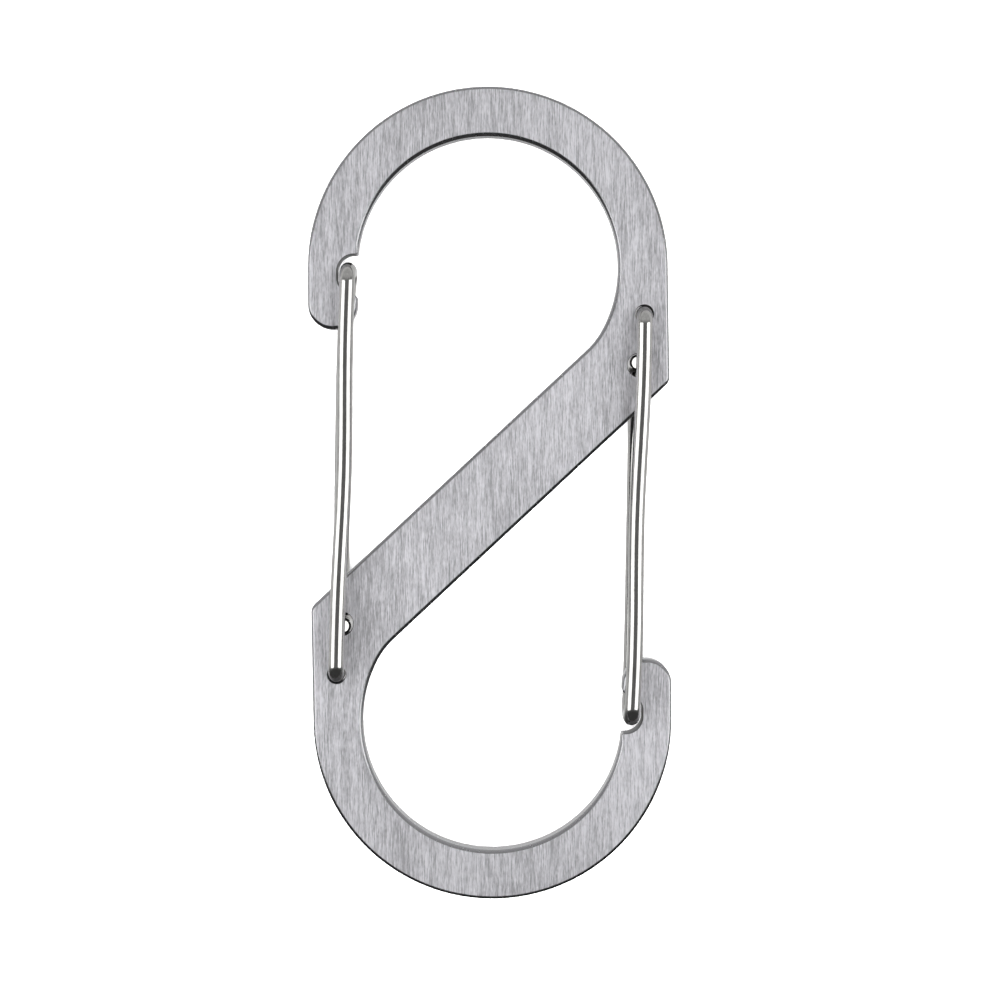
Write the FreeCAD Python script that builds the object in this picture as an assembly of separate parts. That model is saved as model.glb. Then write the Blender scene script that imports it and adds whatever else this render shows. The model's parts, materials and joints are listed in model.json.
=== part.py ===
import FreeCAD, Part
import math
import os

from FreeCAD import Vector

# Double-ended S-shaped clip: one flat plate with a hook ring at each end, and a bent-wire spring gate for
# each hook.
#
# All lengths are in millimetres and all angles in degrees. The clip lies flat: its length runs along Y, its
# width along X and its thickness along Z. Half a turn about Z brings it back onto itself, so the upper hook
# and the left gate are worked out once, and the lower hook and the right gate are the same shapes after
# that half turn. Heights are measured from the middle of the plate's thickness, and the whole clip is lifted
# at the end.

# Plate
PLATE_THICKNESS = 3.0
RING_CENTRE = Vector(-0.25, 25.0, 0)
RING_OUTER_RADIUS = 19.8
RING_INNER_RADIUS = 14.35
HOOK_END_Y = 20.9                   # the hook runs straight down to here, where its round toe starts
BAR_ANGLE = 43.0                    # the bar's slope, from the X axis
BAR_WIDTH = 8.8
BAR_BLEND_RADIUS = 9.0              # rounds the corner where the ring's inside meets the bar
SPINE_LEAN = 1.0                    # the side opposite the hook's mouth leans out by this much
SPINE_CORNER_RADIUS = 1.3
NOTCH_CENTRE = Vector(-14.95, 24.18, 0)     # the pocket above the toe that the gate's crossbar closes into
NOTCH_RADIUS = 1.9                  # of its two round ends
NOTCH_RUN = 0.65                    # the straight stretch between them
EDGE_ROUNDING = 0.4

# Gate wires
WIRE_RADIUS = 0.875
LEG_GAP = 0.1                       # between a leg and the plate's face
CROSSBAR = Vector(-15.58, 24.65, 0)
CROSSBAR_BEND_RADIUS = 1.35         # of the wire's centre line
HINGE_BEND_RADIUS = 1.2             # of the wire's centre line
TIP_CHAMFER = 0.25
TIP_RECESS = 0.3                    # a tip ends this far below the face that it points at
CUT_GAP = 0.02                      # between the two halves of the crossbar

# Hinge holes: a gate's two legs turn in two holes, and the flex between them is the gate's spring
FRONT_HOLE = Vector(-16.95, -19.85, 0)
FRONT_HOLE_RADIUS = 1.0
FRONT_HOLE_CHAMFER = 0.06
BACK_HOLE = Vector(-16.4, -14.23, 0)
BACK_HOLE_RADIUS = 1.32
BACK_HOLE_CHAMFER = 0.06
BACK_TIP_SHIFT = 0.3                # from the hole's centre, away from the crossbar
BACK_TIP_LEAN = 0.18                # from the hole's centre, towards the middle of the clip

FACE_HEIGHT = PLATE_THICKNESS / 2
LEG_HEIGHT = FACE_HEIGHT + LEG_GAP + WIRE_RADIUS
LIFT = Vector(0, 0, LEG_HEIGHT + WIRE_RADIUS)   # stands the clip on its two back legs
MIDDLE = Vector(0, 0, 0)
UP = Vector(0, 0, 1)
LEVEL_TOLERANCE = 1e-6              # an edge that rises by less than this is level
TIP_TOLERANCE = 1e-3                # an edge whose middle is this close to a wire's end is the tip's rim


def direction(angle):
    return Vector(math.cos(math.radians(angle)), math.sin(math.radians(angle)), 0)


def angle_of(offset):
    return math.degrees(math.atan2(offset.y, offset.x))


def line(start, end):
    return Part.LineSegment(start, end).toShape()


def arc(centre, radius, start, end):
    """The arc from one angle to another, through the angle halfway."""
    points = [centre + direction(angle) * radius for angle in (start, (start + end) / 2, end)]
    return Part.Arc(*points).toShape()


def half_turn(shape):
    turned = shape.copy()
    turned.rotate(MIDDLE, UP, 180)
    return turned


def hook_outline():
    """The upper hook's edges, anticlockwise, from the spine's corner to the end of the bar's upper edge."""
    along_bar = direction(BAR_ANGLE)
    across_bar = direction(BAR_ANGLE + 90)

    # The spine is a straight side, tangent to the ring, and meets the bar's lower edge in a rounded corner.
    along_spine = direction(90 + SPINE_LEAN)
    shoulder = RING_CENTRE + direction(SPINE_LEAN) * RING_OUTER_RADIUS
    drop = (shoulder.dot(across_bar) + BAR_WIDTH / 2) / along_spine.dot(across_bar)
    corner = shoulder - along_spine * drop
    half_angle = math.radians((90 + SPINE_LEAN - BAR_ANGLE) / 2)
    corner_start = corner - along_bar * SPINE_CORNER_RADIUS * math.tan(half_angle)
    corner_centre = corner_start + across_bar * SPINE_CORNER_RADIUS
    corner_end = corner_centre + direction(SPINE_LEAN) * SPINE_CORNER_RADIUS

    # The outside goes round the ring and straight down to the toe, which is as wide as the ring's band.
    ring_side = RING_CENTRE + direction(180) * RING_OUTER_RADIUS
    ring_inside = RING_CENTRE + direction(180) * RING_INNER_RADIUS
    toe_radius = (RING_OUTER_RADIUS - RING_INNER_RADIUS) / 2
    toe_centre = Vector(ring_side.x + toe_radius, HOOK_END_Y, 0)
    toe_side = toe_centre + direction(180) * toe_radius
    toe_inside = toe_centre + direction(0) * toe_radius

    # The inside runs back to the bar by the ring's inner arc and a tighter blend arc, tangent to both.
    blend_reach = RING_INNER_RADIUS - BAR_BLEND_RADIUS
    blend_drop = RING_CENTRE.dot(across_bar) - BAR_WIDTH / 2 - BAR_BLEND_RADIUS
    blend_shift = math.sqrt(blend_reach ** 2 - blend_drop ** 2)
    blend_centre = RING_CENTRE - across_bar * blend_drop + along_bar * blend_shift
    blend_start = angle_of(blend_centre - RING_CENTRE)
    bar_start = blend_centre - across_bar * BAR_BLEND_RADIUS

    return [
        arc(corner_centre, SPINE_CORNER_RADIUS, BAR_ANGLE - 90, SPINE_LEAN),
        line(corner_end, shoulder),
        arc(RING_CENTRE, RING_OUTER_RADIUS, SPINE_LEAN, 180),
        line(ring_side, toe_side),
        arc(toe_centre, toe_radius, -180, 0),
        line(toe_inside, ring_inside),
        arc(RING_CENTRE, RING_INNER_RADIUS, 180, blend_start),
        arc(blend_centre, BAR_BLEND_RADIUS, blend_start, BAR_ANGLE - 90),
        line(bar_start, corner_start * -1),
    ]


def notch_tool():
    """A short slot through the plate, along Y."""
    upper = NOTCH_CENTRE + Vector(0, NOTCH_RUN / 2, 0)
    lower = NOTCH_CENTRE - Vector(0, NOTCH_RUN / 2, 0)
    side = Vector(NOTCH_RADIUS, 0, 0)
    outline = Part.Wire([
        arc(upper, NOTCH_RADIUS, 0, 180),
        line(upper - side, lower - side),
        arc(lower, NOTCH_RADIUS, 180, 360),
        line(lower + side, upper + side),
    ])
    face = Part.Face(outline)
    face.translate(UP * -FACE_HEIGHT)
    return face.extrude(UP * PLATE_THICKNESS)


def hinge_hole_tool(centre, radius, chamfer):
    """One hole through the plate, with a small chamfer at each face."""
    bottom = centre - UP * FACE_HEIGHT
    top = centre + UP * FACE_HEIGHT
    tool = Part.makeCylinder(radius, PLATE_THICKNESS, bottom, UP)
    tool = tool.fuse(Part.makeCone(radius + chamfer, radius, chamfer, bottom, UP))
    return tool.fuse(Part.makeCone(radius + chamfer, radius, chamfer, top, UP * -1))


def make_plate():
    hook = hook_outline()
    face = Part.Face(Part.Wire(hook + [half_turn(edge) for edge in hook]))
    face.translate(UP * -FACE_HEIGHT)
    plate = face.extrude(UP * PLATE_THICKNESS)
    rims = [edge for edge in plate.Edges if edge.BoundBox.ZLength < LEVEL_TOLERANCE]
    plate = plate.makeFillet(EDGE_ROUNDING, rims)
    for tool in [
        notch_tool(),
        hinge_hole_tool(FRONT_HOLE, FRONT_HOLE_RADIUS, FRONT_HOLE_CHAMFER),
        hinge_hole_tool(BACK_HOLE, BACK_HOLE_RADIUS, BACK_HOLE_CHAMFER),
    ]:
        plate = plate.cut(tool).cut(half_turn(tool))
    return plate


def bent_wire(points, bend_radii):
    """A round wire along straight runs joined by tangent arcs at the inner points, with a chamfered tip."""
    edges = []
    start = points[0]
    for before, corner, after, radius in zip(points, points[1:], points[2:], bend_radii):
        back = (before - corner).normalize()
        ahead = (after - corner).normalize()
        half_angle = back.getAngle(ahead) / 2
        setback = radius / math.tan(half_angle)
        bisector = (back + ahead).normalize()
        middle = corner + bisector * (radius / math.sin(half_angle) - radius)
        edges.append(line(start, corner + back * setback))
        edges.append(Part.Arc(corner + back * setback, middle, corner + ahead * setback).toShape())
        start = corner + ahead * setback
    edges.append(line(start, points[-1]))
    section = Part.Wire(Part.makeCircle(WIRE_RADIUS, points[0], points[1] - points[0]))
    wire = Part.Wire(edges).makePipeShell([section], True, True)
    rim = [
        edge for edge in wire.Edges
        if edge.BoundBox.Center.distanceToPoint(points[0]) < TIP_TOLERANCE
    ]
    return wire.makeChamfer(TIP_CHAMFER, rim)


def make_leg(tip, side):
    """One leg of the left gate, from its tip in the plate to the middle of the crossbar.

    side is 1 for the front leg and -1 for the back leg.
    """
    leg_level = UP * LEG_HEIGHT * side
    points = [
        tip - UP * (FACE_HEIGHT - TIP_RECESS) * side,
        tip + leg_level,
        CROSSBAR + leg_level,
        CROSSBAR + UP * CUT_GAP / 2 * side,
    ]
    return bent_wire(points, [HINGE_BEND_RADIUS, CROSSBAR_BEND_RADIUS])


def main():
    os.makedirs("parts", exist_ok=True)
    away = (BACK_HOLE - CROSSBAR).normalize()
    back_tip = BACK_HOLE + away * BACK_TIP_SHIFT + Vector(BACK_TIP_LEAN, 0, 0)
    front_leg = make_leg(FRONT_HOLE, 1)
    back_leg = make_leg(back_tip, -1)
    nodes = {
        "plate": make_plate(),
        "left_gate_front_leg": front_leg,
        "left_gate_back_leg": back_leg,
        "right_gate_front_leg": half_turn(front_leg),
        "right_gate_back_leg": half_turn(back_leg),
    }
    for name, shape in nodes.items():
        shape.translate(LIFT)
        shape.exportStep(f"parts/{name}.step")


main()
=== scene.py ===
import json
import math

import bpy
import numpy as np
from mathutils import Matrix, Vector
from mathutils.geometry import delaunay_2d_cdt, intersect_sphere_sphere_2d


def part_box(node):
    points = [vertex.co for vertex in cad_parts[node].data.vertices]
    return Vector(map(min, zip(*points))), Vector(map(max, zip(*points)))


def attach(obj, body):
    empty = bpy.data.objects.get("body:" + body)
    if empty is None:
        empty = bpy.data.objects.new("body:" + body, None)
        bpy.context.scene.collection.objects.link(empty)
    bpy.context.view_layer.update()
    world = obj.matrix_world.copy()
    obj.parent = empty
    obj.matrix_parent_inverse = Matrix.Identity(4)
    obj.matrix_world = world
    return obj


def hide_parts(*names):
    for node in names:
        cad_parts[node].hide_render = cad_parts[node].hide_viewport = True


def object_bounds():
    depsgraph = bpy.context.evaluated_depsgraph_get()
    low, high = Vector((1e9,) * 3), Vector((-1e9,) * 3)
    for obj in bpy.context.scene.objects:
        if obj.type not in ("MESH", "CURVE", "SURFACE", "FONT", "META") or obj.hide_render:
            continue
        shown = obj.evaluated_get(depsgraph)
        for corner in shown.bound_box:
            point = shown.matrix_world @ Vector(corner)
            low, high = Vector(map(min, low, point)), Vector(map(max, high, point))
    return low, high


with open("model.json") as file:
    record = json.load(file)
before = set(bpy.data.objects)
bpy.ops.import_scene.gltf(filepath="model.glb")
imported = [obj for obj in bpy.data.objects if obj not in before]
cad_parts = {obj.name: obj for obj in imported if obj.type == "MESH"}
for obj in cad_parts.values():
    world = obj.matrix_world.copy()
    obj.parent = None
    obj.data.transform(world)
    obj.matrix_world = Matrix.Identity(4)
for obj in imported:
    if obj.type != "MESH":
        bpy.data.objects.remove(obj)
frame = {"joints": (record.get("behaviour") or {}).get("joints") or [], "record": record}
cad_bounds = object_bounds()

# The looks of a flat, S-shaped double-ended clip with two bent-wire gates. The frame is in metres, with the
# clip's length along Y and its thickness along Z. Shapes are worked out in millimetres, and scaled when a
# mesh is made. Half a turn about Z brings the clip back onto itself, so the plate's outline is worked out
# for the upper hook and repeated for the lower one.

MM = 0.001

# Plate outline, in mm and degrees
HOOK_END_Y = 20.9            # the hook runs straight down to here, where its round toe starts
BAR_ANGLE = 43.0
BAR_WIDTH = 8.8
BAR_BLEND_RADIUS = 9.0       # rounds the corner where the ring's inside meets the bar
SPINE_LEAN = 1.0             # the side opposite the hook's mouth leans out by this much
SPINE_CORNER_RADIUS = 1.3
NOTCH_CENTRE = Vector((-14.95, 24.18))    # the pocket that the gate's crossbar closes into
NOTCH_RADIUS = 1.9           # of its two round ends
NOTCH_RUN = 0.65             # the straight stretch between them
TOOTH_RADIUS = 0.42          # rounds the corner between the toe and the notch
LIP_RADIUS = 0.2             # rounds the corner between the notch and the ring's inside

# Plate edges, in mm: how far each rim is rounded over
EDGE = 0.4
TOOTH_EDGE = 0.25
NOTCH_EDGE = 0.07
NOTCH_PAINTED_SHADE = 0.4            # how much painted shade darkens the notch's wall, where a hinge hole's is 1
LIP_EDGE = 0.12
LIP_FADE = 4.0               # degrees of the ring over which the lip's rim widens to EDGE

# Hinge holes, in mm
FRONT_HOLE_RADIUS = 1.0
FRONT_HOLE_EDGE = 0.06
BACK_HOLE = Vector((-16.4, -14.23))
BACK_HOLE_RADIUS = 1.32
BACK_HOLE_EDGE = 0.06

# Plate mesh, in mm
OUTLINE_STEP = 0.3
ARC_STEP = 6.0               # degrees, at most
EDGE_BENDS = [               # (turn from the face in degrees, relative bend radius there): a soft bevel
    (0, 0.2),
    (14, 0.45),
    (36, 0.45),
    (46, 0.75),
    (72, 0.9),
    (90, 0.6),
]
EDGE_STEP = 5.0              # degrees
FACE_GRID = 1.3
FACE_MARGIN = 0.6            # from a rim to the nearest grid point
FACE_TOLERANCE = 1e-5        # points closer than this are one

# Gate wires, in mm and degrees
WIRE_RADIUS = 0.875
CROSSBAR_BEND_RADIUS = 1.35
HINGE_BEND_RADIUS = 1.2
WIRE_STEP = 0.7
BEND_STEPS = 20
WIRE_SIDES = 56
SHARP_ANGLE = 50.0           # edges that turn by more than this stay sharp
LEG_BOWS = {                 # how far each leg bows out between its bends, away from the clip's middle
    ("left", "front"): -0.12,
    ("left", "back"): 0.58,
    ("right", "front"): -0.04,
    ("right", "back"): 0.14,
}
BOW_POWER = 4                # the higher, the flatter the middle of a bow
FRONT_LEG_SNAKE = 0.12       # how far a front leg sways besides
SNAKE_HALF_WAVES = 3         # in a leg's length
TIP_LENGTH = 0.7             # a tip's shape ends this far along the wire
TIP_TILT = 20.0              # a sheared tip's face slants this much
TIP_PROFILE = [              # towards a tip: (in from the side, back from the end, share of the tilt)
    (0.0, 0.30, 0.2),
    (0.02, 0.24, 0.4),
    (0.06, 0.18, 0.7),
    (0.16, 0.04, 1.0),
    (0.20, 0.0, 1.0),
    (0.27, 0.0, 1.0),
]

# Camera, in mm and degrees: nearly straight above the plate's front face
CAMERA_HEIGHT = 250.0
CAMERA_SHIFT_Y = 6.34
CAMERA_PITCH = 1.588
CAMERA_YAW = 0.247
SENSOR_WIDTH = 36.0
CAMERA_LENS = 81.82
CAMERA_CLIP = (0.01, 50.0)   # m


def direction(angle):
    return Vector((math.cos(math.radians(angle)), math.sin(math.radians(angle))))


def angle_of(offset):
    return math.degrees(math.atan2(offset.y, offset.x))


def ease(ends, share):
    """From the first end to the second, starting and stopping gently."""
    return ends[0] + (ends[1] - ends[0]) * share * share * (3 - 2 * share)


def in_mm(point):
    return Vector(point) / MM


# ---------------------------------------------------------------- plate

joints = {joint["name"]: in_mm(joint["pos_m"]) for joint in frame["joints"]}
seat = next(mount for mount in frame["record"]["mounts"] if mount["name"] == "upper_hook_seat")
plate_low, plate_high = (in_mm(corner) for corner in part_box("plate"))
RING_CENTRE = in_mm(seat["pos_m"]).xy
RING_INNER_RADIUS = seat["dims"]["r_mm"]
RING_OUTER_RADIUS = RING_CENTRE.x - plate_low.x
MIDDLE_Z = (plate_low.z + plate_high.z) / 2
HALF_THICKNESS = (plate_high.z - plate_low.z) / 2


def arc(centre, radius, start, end, edges=(EDGE, EDGE)):
    """Rim points (place, outward normal, rounding) along an arc.

    An anticlockwise arc bulges, and a clockwise one is hollow.
    """
    side = 1 if end > start else -1
    length = math.radians(abs(end - start)) * radius
    steps = max(math.ceil(abs(end - start) / ARC_STEP), round(length / OUTLINE_STEP))
    rim = []
    for i in range(steps):
        out = direction(start + (end - start) * i / steps)
        rim.append((centre + out * radius, out * side, ease(edges, i / steps)))
    return rim


def line(start, end, edges=(EDGE, EDGE)):
    """Rim points along a straight side, with the plate on its left."""
    along = (end - start).normalized()
    steps = max(1, round((end - start).length / OUTLINE_STEP))
    normal = Vector((along.y, -along.x))
    return [(start.lerp(end, i / steps), normal, ease(edges, i / steps)) for i in range(steps)]


def outer_tangent_circle(first, first_radius, second, second_radius, radius):
    """The centre of a circle that touches two circles from outside: the upper of the two that do."""
    found = intersect_sphere_sphere_2d(first, first_radius + radius, second, second_radius + radius)
    return max(found, key=lambda point: point.y)


def hook_rim():
    """The upper hook's rim, anticlockwise, from the spine's corner to the end of the bar's upper edge."""
    along_bar = direction(BAR_ANGLE)
    across_bar = direction(BAR_ANGLE + 90)

    along_spine = direction(90 + SPINE_LEAN)
    shoulder = RING_CENTRE + direction(SPINE_LEAN) * RING_OUTER_RADIUS
    drop = (shoulder.dot(across_bar) + BAR_WIDTH / 2) / along_spine.dot(across_bar)
    corner = shoulder - along_spine * drop
    half_angle = math.radians((90 + SPINE_LEAN - BAR_ANGLE) / 2)
    corner_start = corner - along_bar * SPINE_CORNER_RADIUS * math.tan(half_angle)
    corner_centre = corner_start + across_bar * SPINE_CORNER_RADIUS
    corner_end = corner_centre + direction(SPINE_LEAN) * SPINE_CORNER_RADIUS

    toe_radius = (RING_OUTER_RADIUS - RING_INNER_RADIUS) / 2
    toe_centre = Vector((RING_CENTRE.x - RING_OUTER_RADIUS + toe_radius, HOOK_END_Y))
    toe_inside = toe_centre + direction(0) * toe_radius

    tooth_x = toe_inside.x - TOOTH_RADIUS
    tooth_reach = NOTCH_RADIUS + TOOTH_RADIUS
    notch_side = Vector((NOTCH_RADIUS, 0))
    notch_top = NOTCH_CENTRE + Vector((0, NOTCH_RUN / 2))
    notch_low = NOTCH_CENTRE - Vector((0, NOTCH_RUN / 2))
    tooth_y = notch_low.y - math.sqrt(tooth_reach ** 2 - (tooth_x - notch_low.x) ** 2)
    tooth = Vector((tooth_x, tooth_y))
    lip = outer_tangent_circle(notch_top, NOTCH_RADIUS, RING_CENTRE, RING_INNER_RADIUS, LIP_RADIUS)
    notch_start = angle_of(tooth - notch_low) + 360
    notch_end = angle_of(lip - notch_top)
    lip_start = angle_of(notch_top - lip)
    lip_end = angle_of(RING_CENTRE - lip)
    ring_start = angle_of(lip - RING_CENTRE)

    blend_reach = RING_INNER_RADIUS - BAR_BLEND_RADIUS
    blend_drop = RING_CENTRE.dot(across_bar) - BAR_WIDTH / 2 - BAR_BLEND_RADIUS
    blend_shift = math.sqrt(blend_reach ** 2 - blend_drop ** 2)
    blend_centre = RING_CENTRE - across_bar * blend_drop + along_bar * blend_shift
    blend_start = angle_of(blend_centre - RING_CENTRE)
    bar_start = blend_centre - across_bar * BAR_BLEND_RADIUS

    return (
        arc(corner_centre, SPINE_CORNER_RADIUS, BAR_ANGLE - 90, SPINE_LEAN)
        + line(corner_end, shoulder)
        + arc(RING_CENTRE, RING_OUTER_RADIUS, SPINE_LEAN, 180)
        + line(RING_CENTRE - Vector((RING_OUTER_RADIUS, 0)), toe_centre - Vector((toe_radius, 0)))
        + arc(toe_centre, toe_radius, -180, 0)
        + line(toe_inside, tooth + Vector((TOOTH_RADIUS, 0)), (EDGE, TOOTH_EDGE))
        + arc(tooth, TOOTH_RADIUS, 0, angle_of(notch_low - tooth), (TOOTH_EDGE, NOTCH_EDGE))
        + arc(notch_low, NOTCH_RADIUS, notch_start, 180, (NOTCH_EDGE, NOTCH_EDGE))
        + line(notch_low - notch_side, notch_top - notch_side, (NOTCH_EDGE, NOTCH_EDGE))
        + arc(notch_top, NOTCH_RADIUS, 180, notch_end, (NOTCH_EDGE, NOTCH_EDGE))
        + arc(lip, LIP_RADIUS, lip_start, lip_end, (NOTCH_EDGE, LIP_EDGE))
        + arc(RING_CENTRE, RING_INNER_RADIUS, ring_start, ring_start - LIP_FADE, (LIP_EDGE, EDGE))
        + arc(RING_CENTRE, RING_INNER_RADIUS, ring_start - LIP_FADE, blend_start)
        + arc(blend_centre, BAR_BLEND_RADIUS, blend_start, BAR_ANGLE - 90)
        + line(bar_start, corner_start * -1)
    )


def half_turned(rim):
    return [(-place, -normal, edge) for place, normal, edge in rim]


def edge_profile():
    """The section of a rim rounded by 1: (inset, drop, normal's share outward, and upward) at each turn."""
    turns, radii = zip(*EDGE_BENDS)
    reach, drop, profile = 0.0, 0.0, [(0.0, 0.0, 0.0)]
    for step in range(round(90 / EDGE_STEP)):
        middle = (step + 0.5) * EDGE_STEP
        run = float(np.interp(middle, turns, radii)) * math.radians(EDGE_STEP)
        reach += run * math.cos(math.radians(middle))
        drop += run * math.sin(math.radians(middle))
        profile.append((reach, drop, math.radians((step + 1) * EDGE_STEP)))
    return [
        ((reach - near) / reach, fall / reach, math.sin(turn), math.cos(turn))
        for near, fall, turn in profile
    ]


EDGE_PROFILE = edge_profile()


def edge_rows(edge):
    """Rows down the plate's side: (inset, height above the middle, normal's share outward, and upward)."""
    rows = [(edge * inset, HALF_THICKNESS - edge * drop, out, up) for inset, drop, out, up in EDGE_PROFILE]
    return rows + [(inset, -height, out, -up) for inset, height, out, up in reversed(rows)]


def face_grid(rim):
    """Points spread over the flat face in staggered rows, clear of every rim."""
    places = np.array([place - normal * edge for place, normal, edge in rim])
    normals = np.array([normal for _, normal, _ in rim])
    reach = int(plate_high.y / FACE_GRID) + 1
    grid = []
    for row in range(-reach, reach + 1):
        for column in range(-reach, reach + 1):
            point = np.array(((column + row % 2 / 2) * FACE_GRID, row * FACE_GRID))
            nearest = np.argmin(((places - point) ** 2).sum(axis=1))
            offset = point - places[nearest]
            if offset @ normals[nearest] < 0 and offset @ offset > FACE_MARGIN ** 2:
                grid.append(Vector(point))
    return grid


def flat_face(loops, grid, gaps):
    """Triangles over the plate's face, as indices into the loops' points and then the grid's."""
    points, borders = [], []
    for loop in loops:
        first = len(points)
        points += loop
        borders += [(first + i, first + (i + 1) % len(loop)) for i in range(len(loop))]
    points += grid
    made = delaunay_2d_cdt(points, borders, [], 1, FACE_TOLERANCE)
    places, triangles, sources = made[0], made[2], made[3]
    kept = []
    for triangle in triangles:
        middle = sum((places[i] for i in triangle), Vector((0, 0))) / 3
        if all((middle - centre).length > radius for centre, radius in gaps):
            kept.append([sources[i][0] for i in triangle])
    return kept


def hinge_holes():
    """The four hinge holes' rims, and the places on the face that they take up, as (centre, radius)."""
    front_hole = joints["left_gate_swing"].xy
    rims, gaps = [], []
    for centre, radius, edge in (
        (front_hole, FRONT_HOLE_RADIUS, FRONT_HOLE_EDGE),
        (BACK_HOLE, BACK_HOLE_RADIUS, BACK_HOLE_EDGE),
    ):
        hole = arc(centre, radius, 360, 0, (edge, edge))
        rims += [hole, half_turned(hole)]
        inside = (radius + edge) * math.cos(math.pi / len(hole))
        gaps += [(centre, inside), (-centre, inside)]
    return rims, gaps


class PlateMesh:
    """Gathers the plate's points, normals, shares and faces."""

    def __init__(self):
        self.places = []
        self.normals = []
        self.edge_shares = []
        self.painted_shade_shares = []
        self.faces = []

    def add_point(self, place, normal, edge_share=0.0, painted_shade=0.0):
        self.places.append(place)
        self.normals.append(normal)
        self.edge_shares.append(edge_share)
        self.painted_shade_shares.append(edge_share * painted_shade)

    def add_wall(self, rim, is_hole):
        """One rim's wall, face to face. Returns the first points of its top row and its bottom row."""
        rows = [edge_rows(edge) for _, _, edge in rim]
        count = len(rows[0])
        size = len(rim)
        first = len(self.places)
        for row in range(count):
            for (place, normal, edge), profile in zip(rim, rows):
                inset, height, out, up = profile[row]
                spot = place - normal * inset
                # painted shade share: full on a hinge hole's wall, part on a notch's wall
                notch_shade = NOTCH_PAINTED_SHADE if edge <= NOTCH_EDGE else 0.0
                self.add_point(
                    (spot.x, spot.y, MIDDLE_Z + height),
                    (normal.x * out, normal.y * out, up),
                    out,
                    1.0 if is_hole else notch_shade,
                )
        for row in range(count - 1):
            above = first + row * size
            below = above + size
            for i in range(size):
                after = (i + 1) % size
                self.faces.append((above + i, below + i, below + after, above + after))
        return first, first + (count - 1) * size

    def add_face(self, up, starts, flat_loops, grid, triangles):
        """The flat face that looks up, where up is 1, or down, where it is -1."""
        index = []
        for start, loop in zip(starts, flat_loops):
            index += range(start, start + len(loop))
        for point in grid:
            index.append(len(self.places))
            self.add_point((point.x, point.y, MIDDLE_Z + HALF_THICKNESS * up), (0, 0, up))
        for triangle in triangles:
            corners = triangle if up > 0 else reversed(triangle)
            self.faces.append([index[i] for i in corners])

    def finish(self, name):
        mesh = bpy.data.meshes.new(name)
        mesh.from_pydata([Vector(place) * MM for place in self.places], [], self.faces)
        mesh.shade_smooth()
        mesh.normals_split_custom_set_from_vertices(self.normals)
        # the "hole" attribute carries the painted shade on the hole and notch walls
        for attribute, shares in (("edge", self.edge_shares), ("hole", self.painted_shade_shares)):
            mesh.attributes.new(attribute, "FLOAT", "POINT").data.foreach_set("value", shares)
        return bpy.data.objects.new(name, mesh)


def make_plate():
    outline = hook_rim()
    outline += half_turned(outline)
    hole_rims, gaps = hinge_holes()
    rims = [outline] + hole_rims
    plate_mesh = PlateMesh()
    walls = [plate_mesh.add_wall(rim, rim is not outline) for rim in rims]
    top_starts, bottom_starts = zip(*walls)

    flat_loops = [[place - normal * edge for place, normal, edge in rim] for rim in rims]
    grid = face_grid([point for rim in rims for point in rim])
    triangles = flat_face(flat_loops, grid, gaps)
    plate_mesh.add_face(1, top_starts, flat_loops, grid, triangles)
    plate_mesh.add_face(-1, bottom_starts, flat_loops, grid, triangles)
    return plate_mesh.finish("clip_plate")


# ---------------------------------------------------------------- gate wires

def rounded_path(corners, bend_radii):
    """Points along straight runs, and along the tangent arcs that round the corners between them."""
    path = [corners[0]]

    def run_to(end):
        start = path[-1]
        steps = max(1, round((end - start).length / WIRE_STEP))
        path.extend(start.lerp(end, i / steps) for i in range(1, steps + 1))

    for before, corner, after, radius in zip(corners, corners[1:], corners[2:], bend_radii):
        back = (before - corner).normalized()
        ahead = (after - corner).normalized()
        half_angle = back.angle(ahead) / 2
        setback = radius / math.tan(half_angle)
        centre = corner + (back + ahead).normalized() * radius / math.sin(half_angle)
        run_to(corner + back * setback)
        start = corner + back * setback - centre
        end = corner + ahead * setback - centre
        path += [centre + start.slerp(end, i / BEND_STEPS) * radius for i in range(1, BEND_STEPS + 1)]
    run_to(corners[-1])
    return path


def bowed(point, start, leg, outward, bow, snake):
    """The point moved outward, as far as the leg from start stands off from straight there."""
    share = min(max((point - start).dot(leg) / leg.length_squared, 0), 1)
    arched = bow * (1 - (2 * share - 1) ** BOW_POWER)
    swayed = snake * math.sin(SNAKE_HALF_WAVES * math.pi * share)
    return point + outward * (arched + swayed)


def ring_points(rings, axis, side, outward):
    """The wire's surface, ring after ring. Each ring is (centre, radius, share of the tilt)."""
    points = []
    for i, (centre, radius, tilt) in enumerate(rings):
        before = rings[i - 1][0] if i > 0 else centre - axis
        after = rings[min(i + 1, len(rings) - 1)][0]
        along = (after - before).normalized()
        first = (side - along * side.dot(along)).normalized()
        second = along.cross(first)
        for step in range(WIRE_SIDES):
            turn = 2 * math.pi * step / WIRE_SIDES
            spoke = (first * math.cos(turn) + second * math.sin(turn)) * radius
            slant = -spoke.dot(outward) * math.tan(math.radians(TIP_TILT)) * tilt
            points.append(centre + spoke + axis * slant)
    return points


def ring_faces(count):
    """The faces between the rings, and those that close both ends around the two points that follow them."""
    faces = []
    last = (count - 1) * WIRE_SIDES
    tip_centre = count * WIRE_SIDES
    cut_centre = tip_centre + 1
    for low in range(0, last, WIRE_SIDES):
        high = low + WIRE_SIDES
        for step in range(WIRE_SIDES):
            after = (step + 1) % WIRE_SIDES
            faces.append((low + step, low + after, high + after, high + step))
    for step in range(WIRE_SIDES):
        after = (step + 1) % WIRE_SIDES
        faces.append((after, step, tip_centre))
        faces.append((last + step, last + after, cut_centre))
    return faces


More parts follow.
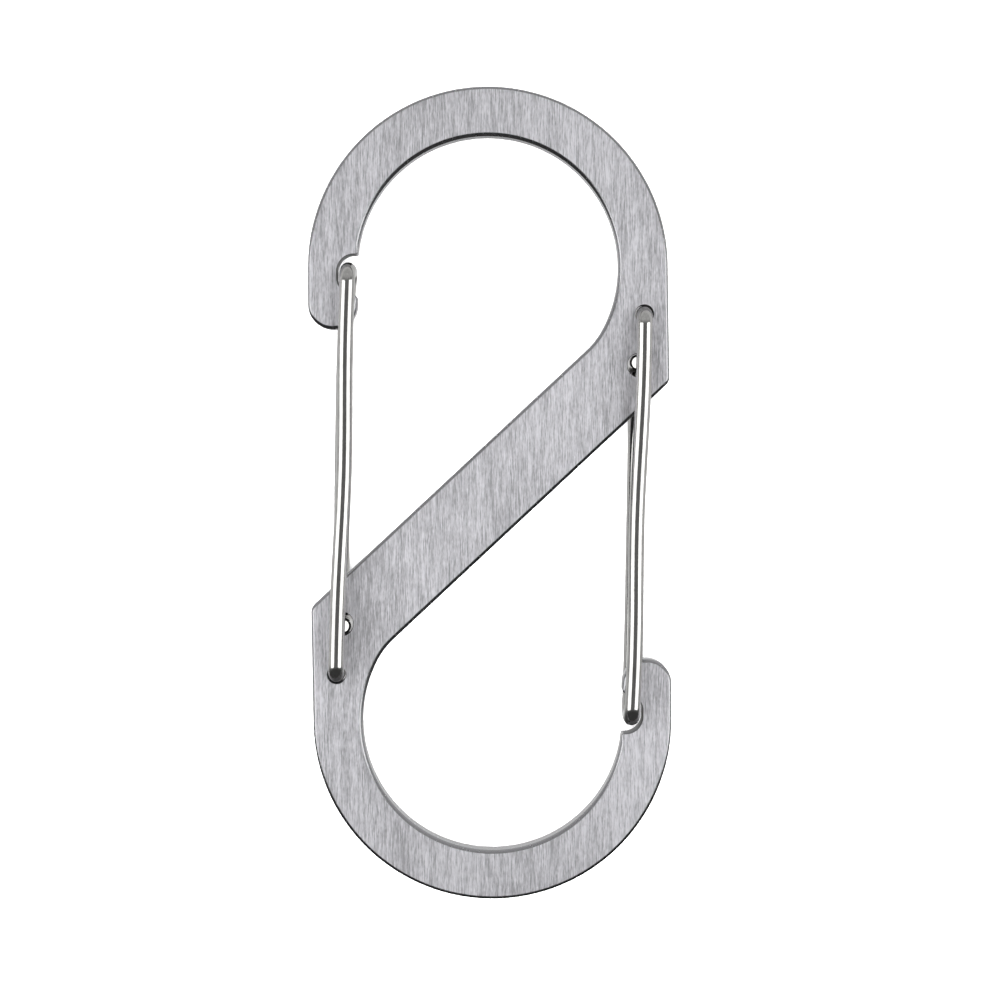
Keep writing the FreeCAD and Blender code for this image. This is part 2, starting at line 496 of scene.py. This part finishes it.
def make_leg(name, corners, bow, snake):
    """Half of a gate's wire, from its tip in the plate, round two bends, to the middle of its crossbar."""
    tip, hinge_corner, crossbar_corner, _ = corners
    axis = (hinge_corner - tip).normalized()
    leg = crossbar_corner - hinge_corner
    side = leg.cross(Vector((0, 0, 1))).normalized()
    outward = side if side.dot(hinge_corner) > 0 else -side
    path = rounded_path(corners, [HINGE_BEND_RADIUS, CROSSBAR_BEND_RADIUS])
    path = [bowed(point, hinge_corner, leg, outward, bow, snake) for point in path]
    rings = [(tip + axis * back, WIRE_RADIUS - inset, tilt) for inset, back, tilt in reversed(TIP_PROFILE)]
    rings += [(point, WIRE_RADIUS, 0.0) for point in path if (point - tip).dot(axis) > TIP_LENGTH]
    places = ring_points(rings, axis, side, outward) + [rings[0][0], rings[-1][0]]

    mesh = bpy.data.meshes.new(name)
    mesh.from_pydata([place * MM for place in places], [], ring_faces(len(rings)))
    mesh.shade_smooth()
    mesh.set_sharp_from_angle(angle=math.radians(SHARP_ANGLE))
    return bpy.data.objects.new(name, mesh)


def make_gate(side):
    """The front and back legs of one gate, which meet in the middle of its crossbar."""
    is_left = joints[f"{side}_gate_swing"].x < 0
    crossbar = joints[f"{side}_gate_flex"]
    legs = []
    for face in ("front", "back"):
        low, high = (in_mm(corner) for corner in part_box(f"{side}_gate_{face}_leg"))
        hinge_x = low.x + WIRE_RADIUS if is_left else high.x - WIRE_RADIUS
        hinge_y = low.y + WIRE_RADIUS if is_left else high.y - WIRE_RADIUS
        leg_z = high.z - WIRE_RADIUS if face == "front" else low.z + WIRE_RADIUS
        tip_z = low.z if face == "front" else high.z
        corners = [
            Vector((hinge_x, hinge_y, tip_z)),
            Vector((hinge_x, hinge_y, leg_z)),
            Vector((crossbar.x, crossbar.y, leg_z)),
            Vector((crossbar.x, crossbar.y, MIDDLE_Z)),
        ]
        snake = FRONT_LEG_SNAKE if face == "front" else 0.0
        leg = make_leg(f"{side}_wire_{face}_leg", corners, LEG_BOWS[side, face], snake)
        legs.append((leg, f"{side}_gate_{face}", f"{side}_gate_{face}_leg"))
    return legs


# ---------------------------------------------------------------- materials

class Nodes:
    """Adds nodes to one node tree and links them."""

    def __init__(self, tree):
        self.tree = tree

    def add(self, kind, inputs=None, **settings):
        node = self.tree.nodes.new(kind)
        for name, value in settings.items():
            setattr(node, name, value)
        for name, value in (inputs or {}).items():
            if isinstance(value, bpy.types.NodeSocket):
                self.tree.links.new(value, node.inputs[name])
            else:
                node.inputs[name].default_value = value
        return node

    def noise(self, coordinates, scale, detail=2.0, roughness=0.5, seed=0.0):
        """Noise with its own scale along each axis, in features in a millimetre."""
        placed = self.add(
            "ShaderNodeMapping",
            {"Vector": coordinates, "Scale": [size / MM for size in scale], "Location": (seed, seed, seed)},
        )
        return self.add(
            "ShaderNodeTexNoise",
            {"Vector": placed.outputs[0], "Scale": 1.0, "Detail": detail, "Roughness": roughness},
        ).outputs["Fac"]

    def spread(self, value, span, result=(0.0, 1.0)):
        """The value carried over from one span to another, and held at its ends."""
        return self.add(
            "ShaderNodeMapRange",
            {
                "Value": value,
                "From Min": span[0],
                "From Max": span[1],
                "To Min": result[0],
                "To Max": result[1],
            },
        ).outputs[0]

    def math(self, operation, first, second):
        return self.add("ShaderNodeMath", {0: first, 1: second}, operation=operation).outputs[0]

    def vector_math(self, operation, first, second):
        return self.add("ShaderNodeVectorMath", {0: first, 1: second}, operation=operation).outputs[0]

    def bump(self, height, strength, depth):
        """A surface normal from a height of 0 to 1, where 1 is the depth in mm."""
        inputs = {"Height": height, "Strength": strength, "Distance": depth * MM}
        return self.add("ShaderNodeBump", inputs).outputs[0]

    def mix_value(self, factor, first, second):
        return self.add("ShaderNodeMix", {0: factor, 2: first, 3: second}, data_type="FLOAT").outputs[0]

    def mix_colour(self, factor, first, second):
        node = self.add("ShaderNodeMix", data_type="RGBA")
        for socket, value in ((node.inputs[0], factor), (node.inputs[6], first), (node.inputs[7], second)):
            if isinstance(value, bpy.types.NodeSocket):
                self.tree.links.new(value, socket)
            else:
                socket.default_value = value
        return node.outputs[2]


def new_material(name):
    material = bpy.data.materials.new(name)
    material.use_nodes = True
    nodes = Nodes(material.node_tree)
    shader = material.node_tree.nodes["Principled BSDF"]
    return material, nodes, shader


# Noises: features in a millimetre along X, Y and Z, and each one's own seed
FINE_STROKES = {"scale": (9.0, 0.5, 9.0), "detail": 3.0, "roughness": 0.7}
SHORT_STROKES = {"scale": (5.0, 1.6, 5.0), "seed": 3.7}
BROAD_STROKES = {"scale": (1.6, 0.12, 1.6), "seed": 9.1}
CLOUDS = {"scale": (0.14, 0.05, 0.2), "seed": 5.3}
BRUSHED_GRAIN = {"scale": (14.0, 0.5, 14.0), "seed": 2.2}
EDGE_PITTING = {"scale": (6.0, 6.0, 6.0), "detail": 3.0, "seed": 4.4}
EDGE_WEAR = {"scale": (2.0, 2.0, 2.0), "seed": 1.3}
WIRE_LINES = {"scale": (12.0, 0.25, 12.0)}
WIRE_PATCHES = {"scale": (0.9, 0.5, 0.9), "detail": 3.0, "seed": 6.1}

# Plate's look
PLATE_DARK = (0.46, 0.457, 0.479, 1)
PLATE_LIGHT = (0.94, 0.934, 0.975, 1)
PLATE_EDGE = (0.36, 0.36, 0.372, 1)
# painted shade: the near-black base colour of the hinge holes' walls, and part way on the notches' walls,
# stands in for the shade deep inside them
HOLE_PAINTED_SHADE = (0.10, 0.10, 0.105, 1)
FINE_WEIGHT = 0.6
SHORT_WEIGHT = 0.2
BROAD_WEIGHT = 0.2
CLOUD_WEIGHT = 0.15
NOISE_MIDDLE = 0.5
STROKE_TONES = (0.39, 0.60)       # strokes between these go from the dark tone to the light one
STROKE_SPAN = (0.36, 0.64)        # and between these from one roughness to the other
STROKE_ROUGHNESS = (0.58, 0.50)
EDGE_WEAR_SPAN = (0.3, 0.7)
EDGE_ROUGHNESS = (0.20, 0.28)
DEEP_WALL_ROUGHNESS = 0.85
EDGE_START = 0.35                 # a rim that faces outward by this share is all edge
PAINTED_SHADE_SPAN = (0.2, 0.6)           # painted shade starts and is complete at these shares
PLATE_ANISOTROPY = 0.6
PLATE_BUMP_STRENGTH = 0.35
PLATE_BUMP_DEPTH = 0.006          # mm
SMUDGE_DEPTH = 0.07               # how much darker its middle is
SMUDGE_REACH = (1.6, 5.0, 9.0)    # mm, half its size along X, Y and Z
SMUDGE_OFFSET = Vector((2.1, -0.6, 0))    # mm, from the back hole

# Wires' look
WIRE_DARK = (0.42, 0.416, 0.404, 1)
WIRE_LIGHT = (0.58, 0.576, 0.564, 1)
WIRE_LINES_SHARE = 0.5            # of the tone, where patches make up the rest
WIRE_TONES = (0.35, 0.65)
WIRE_ROUGHNESS = (0.16, 0.09)
WIRE_BUMP_STRENGTH = 0.2
WIRE_BUMP_DEPTH = 0.002           # mm

# Floor's look
FLOOR_COLOUR = (0.9, 0.9, 0.9, 1)
FLOOR_ROUGHNESS = 0.9
FLOOR_GLOW = 0.1


def plate_strokes(nodes, place):
    """Brush strokes along Y in four sizes, with a darker smudge beside each back hole."""
    strokes = nodes.math("MULTIPLY", nodes.noise(place, **FINE_STROKES), FINE_WEIGHT)
    short = nodes.math("MULTIPLY", nodes.noise(place, **SHORT_STROKES), SHORT_WEIGHT)
    broad = nodes.math("MULTIPLY", nodes.noise(place, **BROAD_STROKES), BROAD_WEIGHT)
    cloud = nodes.math("SUBTRACT", nodes.noise(place, **CLOUDS), NOISE_MIDDLE)
    for layer in (short, broad, nodes.math("MULTIPLY", cloud, CLOUD_WEIGHT)):
        strokes = nodes.math("ADD", strokes, layer)
    for sign in (1, -1):
        centre = Vector((BACK_HOLE.x, BACK_HOLE.y, 0)) + SMUDGE_OFFSET
        centre = Vector((centre.x * sign, centre.y * sign, MIDDLE_Z))
        offset = nodes.vector_math("SUBTRACT", place, centre * MM)
        scaled = nodes.vector_math("MULTIPLY", offset, [1 / (reach * MM) for reach in SMUDGE_REACH])
        distance = nodes.add("ShaderNodeVectorMath", {0: scaled}, operation="LENGTH").outputs["Value"]
        strokes = nodes.math("SUBTRACT", strokes, nodes.spread(distance, (0.0, 1.0), (SMUDGE_DEPTH, 0.0)))
    return strokes


def plate_material():
    """Brushed stainless steel: short strokes along Y, with smooth tumbled edges, and painted shade darkening
    the walls of the hinge holes and notches.
    """
    material, nodes, shader = new_material("brushed_plate")
    link = material.node_tree.links.new
    place = nodes.add("ShaderNodeTexCoord").outputs["Object"]
    edge = nodes.add("ShaderNodeAttribute", attribute_name="edge").outputs["Fac"]
    # the "hole" attribute is the mask of painted shade on the hole and notch walls
    hole = nodes.add("ShaderNodeAttribute", attribute_name="hole").outputs["Fac"]
    flat = nodes.spread(edge, (0.0, EDGE_START), (1.0, 0.0))
    painted_shade = nodes.spread(hole, PAINTED_SHADE_SPAN)
    strokes = plate_strokes(nodes, place)

    colour = nodes.mix_colour(nodes.spread(strokes, STROKE_TONES), PLATE_DARK, PLATE_LIGHT)
    colour = nodes.mix_colour(flat, PLATE_EDGE, colour)
    # painted shade: darkens the base colour on the holes' and notches' walls, where shade falls
    colour = nodes.mix_colour(painted_shade, colour, HOLE_PAINTED_SHADE)
    link(colour, shader.inputs["Base Color"])

    rough = nodes.spread(strokes, STROKE_SPAN, STROKE_ROUGHNESS)
    edge_rough = nodes.spread(nodes.noise(place, **EDGE_WEAR), EDGE_WEAR_SPAN, EDGE_ROUGHNESS)
    rough = nodes.mix_value(flat, edge_rough, rough)
    link(nodes.mix_value(painted_shade, rough, DEEP_WALL_ROUGHNESS), shader.inputs["Roughness"])

    height = nodes.mix_value(flat, nodes.noise(place, **EDGE_PITTING), nodes.noise(place, **BRUSHED_GRAIN))
    link(nodes.bump(height, PLATE_BUMP_STRENGTH, PLATE_BUMP_DEPTH), shader.inputs["Normal"])
    across = nodes.add("ShaderNodeCombineXYZ", {"X": 1.0})
    link(across.outputs[0], shader.inputs["Tangent"])
    shader.inputs["Metallic"].default_value = 1.0
    shader.inputs["Anisotropic"].default_value = PLATE_ANISOTROPY
    return material


def wire_material():
    """Polished spring wire with faint drawing lines along its length."""
    material, nodes, shader = new_material("polished_wire")
    link = material.node_tree.links.new
    place = nodes.add("ShaderNodeTexCoord").outputs["Object"]
    lines = nodes.noise(place, **WIRE_LINES)
    patches = nodes.noise(place, **WIRE_PATCHES)
    tone = nodes.math(
        "ADD",
        nodes.math("MULTIPLY", lines, WIRE_LINES_SHARE),
        nodes.math("MULTIPLY", patches, 1 - WIRE_LINES_SHARE),
    )
    tone = nodes.spread(tone, WIRE_TONES)
    link(nodes.mix_colour(tone, WIRE_DARK, WIRE_LIGHT), shader.inputs["Base Color"])
    link(nodes.spread(tone, (0.0, 1.0), WIRE_ROUGHNESS), shader.inputs["Roughness"])
    link(nodes.bump(lines, WIRE_BUMP_STRENGTH, WIRE_BUMP_DEPTH), shader.inputs["Normal"])
    shader.inputs["Metallic"].default_value = 1.0
    return material


def floor_material():
    """Plain white studio board, with a faint glow that keeps it white."""
    material, _, shader = new_material("white_board")
    shader.inputs["Base Color"].default_value = FLOOR_COLOUR
    shader.inputs["Roughness"].default_value = FLOOR_ROUGHNESS
    shader.inputs["Emission Color"].default_value = (1, 1, 1, 1)
    shader.inputs["Emission Strength"].default_value = FLOOR_GLOW
    return material


# ---------------------------------------------------------------- stage

FLOOR_HALF_SIZE = 8.0        # m
FLOOR_LAMP_HEIGHT = 1.6      # m
FLOOR_LAMP_SIZE = 1.6        # m
FLOOR_LAMP_RADIANCE = 17.0
BOX_DISTANCE = 1.2           # m
BOX_START = 29.0             # degrees from overhead to the box's upper edge
BOX_END = 77.0               # and to its lower edge
BOX_SPREAD = 16.0            # degrees to each side of its middle, along Y
BOX_LEAN = 4.0               # degrees from its middle to the clip's, along Y
BOX_RADIANCE = 2.4
Y_STOPS = [                  # the room's brightness by how far a direction points along Y
    (-0.50, 0.06),
    (-0.25, 0.19),
    (0.15, 0.19),
    (0.50, 0.56),
]
LOW_GLOW = 0.75              # the room's brightness at and below the horizon, but for its -Y side
LOW_START = 0.3              # how far up a direction points where that glow starts
LOW_SIDE = (-0.30, -0.05)    # and how far along Y where it starts and is complete


def add_object(piece):
    bpy.context.scene.collection.objects.link(piece)
    return piece


def make_floor():
    level = cad_bounds[0].z
    signs = ((-1, -1), (1, -1), (1, 1), (-1, 1))
    corners = [(x * FLOOR_HALF_SIZE, y * FLOOR_HALF_SIZE, level) for x, y in signs]
    mesh = bpy.data.meshes.new("floor")
    mesh.from_pydata(corners, [], [(0, 1, 2, 3)])
    mesh.materials.append(floor_material())
    floor = add_object(bpy.data.objects.new("floor", mesh))
    floor.visible_glossy = False


def make_floor_lamp(target):
    """A wide soft lamp overhead that whitens the floor, and that the metal doesn't reflect."""
    lamp = bpy.data.lights.new("floor_lamp", "AREA")
    lamp.shape = "SQUARE"
    lamp.size = FLOOR_LAMP_SIZE
    lamp.energy = FLOOR_LAMP_RADIANCE * math.pi * lamp.size ** 2
    overhead = add_object(bpy.data.objects.new("floor_lamp", lamp))
    overhead.location = target + Vector((0, 0, FLOOR_LAMP_HEIGHT))
    overhead.visible_glossy = False


def make_soft_box(name, side, target):
    """A rectangular lamp beside the clip, facing it."""
    tilt = math.radians((BOX_START + BOX_END) / 2) * side
    lamp = bpy.data.lights.new(name, "AREA")
    lamp.shape = "RECTANGLE"
    lamp.size = 2 * BOX_DISTANCE * math.tan(math.radians(BOX_END - BOX_START) / 2)
    lamp.size_y = 2 * BOX_DISTANCE * math.tan(math.radians(BOX_SPREAD))
    lamp.energy = BOX_RADIANCE * math.pi * lamp.size * lamp.size_y
    box = add_object(bpy.data.objects.new(name, lamp))
    towards = Vector((math.sin(tilt), -math.tan(math.radians(BOX_LEAN)), math.cos(tilt)))
    box.location = target + towards * BOX_DISTANCE
    box.rotation_euler = (0, tilt, 0)


def make_world():
    """A dim room, brighter towards +Y, and low down but for its -Y side."""
    world = bpy.data.worlds.new("studio")
    world.use_nodes = True
    nodes = Nodes(world.node_tree)
    background = world.node_tree.nodes["Background"]
    towards = nodes.add("ShaderNodeTexCoord").outputs["Generated"]
    split = nodes.add("ShaderNodeSeparateXYZ", {0: towards})
    ramp = nodes.add("ShaderNodeValToRGB", {0: nodes.spread(split.outputs["Y"], (-1.0, 1.0))})
    stops = ramp.color_ramp.elements
    stops.remove(stops[1])
    for i, (along_y, level) in enumerate(Y_STOPS):
        stop = stops[0] if i == 0 else stops.new(1.0)
        stop.position = (along_y + 1) / 2
        stop.color = (level, level, level, 1)
    low = nodes.spread(split.outputs["Z"], (LOW_START, 0.0))
    glow = nodes.math("MULTIPLY", low, nodes.spread(split.outputs["Y"], LOW_SIDE))
    colour = nodes.mix_colour(glow, ramp.outputs[0], (LOW_GLOW, LOW_GLOW, LOW_GLOW, 1))
    world.node_tree.links.new(colour, background.inputs["Color"])
    bpy.context.scene.world = world


def make_camera():
    lens = bpy.data.cameras.new("camera")
    lens.sensor_width = SENSOR_WIDTH
    lens.lens = CAMERA_LENS
    lens.clip_start, lens.clip_end = CAMERA_CLIP
    camera = add_object(bpy.data.objects.new("camera", lens))
    camera.location = Vector((0, CAMERA_SHIFT_Y, plate_high.z + CAMERA_HEIGHT)) * MM
    camera.rotation_euler = (math.radians(-CAMERA_PITCH), math.radians(-CAMERA_YAW), 0)
    bpy.context.scene.camera = camera


# ---------------------------------------------------------------- assembly

plate = add_object(make_plate())
plate.data.materials.append(plate_material())
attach(plate, "plate")
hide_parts("plate")

steel_wire = wire_material()
for side in ("left", "right"):
    for leg, body, node in make_gate(side):
        add_object(leg)
        leg.data.materials.append(steel_wire)
        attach(leg, body)
        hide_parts(node)

clip_centre = (cad_bounds[0] + cad_bounds[1]) / 2
make_floor()
make_floor_lamp(clip_centre)
for name, side in (("left_box", -1), ("right_box", 1)):
    make_soft_box(name, side, clip_centre)
make_world()
make_camera()
bpy.context.scene.view_settings.view_transform = "Standard"
